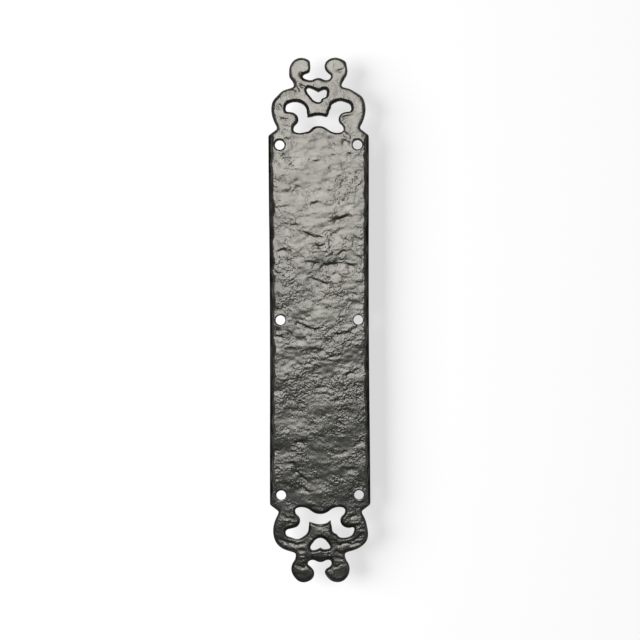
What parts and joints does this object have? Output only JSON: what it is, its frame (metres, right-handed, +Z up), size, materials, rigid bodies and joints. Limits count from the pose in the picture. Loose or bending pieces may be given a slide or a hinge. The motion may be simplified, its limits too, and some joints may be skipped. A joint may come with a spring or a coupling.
{
  "type": "door finger plate",
  "caption": "Long cast iron door finger plate with a beaten black front, a pierced scroll crest at each end and plain screw holes down both sides.",
  "frame": {"origin": "middle of the flat back, which lies on the door", "axes": "+Z up the door along the plate, +X across the plate to the right as seen from the front, +Y into the door"},
  "size_m": [0.0632, 0.0036, 0.33],
  "materials": {
    "black_iron": "satin black paint over a rough, beaten casting"
  },
  "bodies": {
    "root": {"finger_plate": "black_iron"}
  },
  "joints": []
}
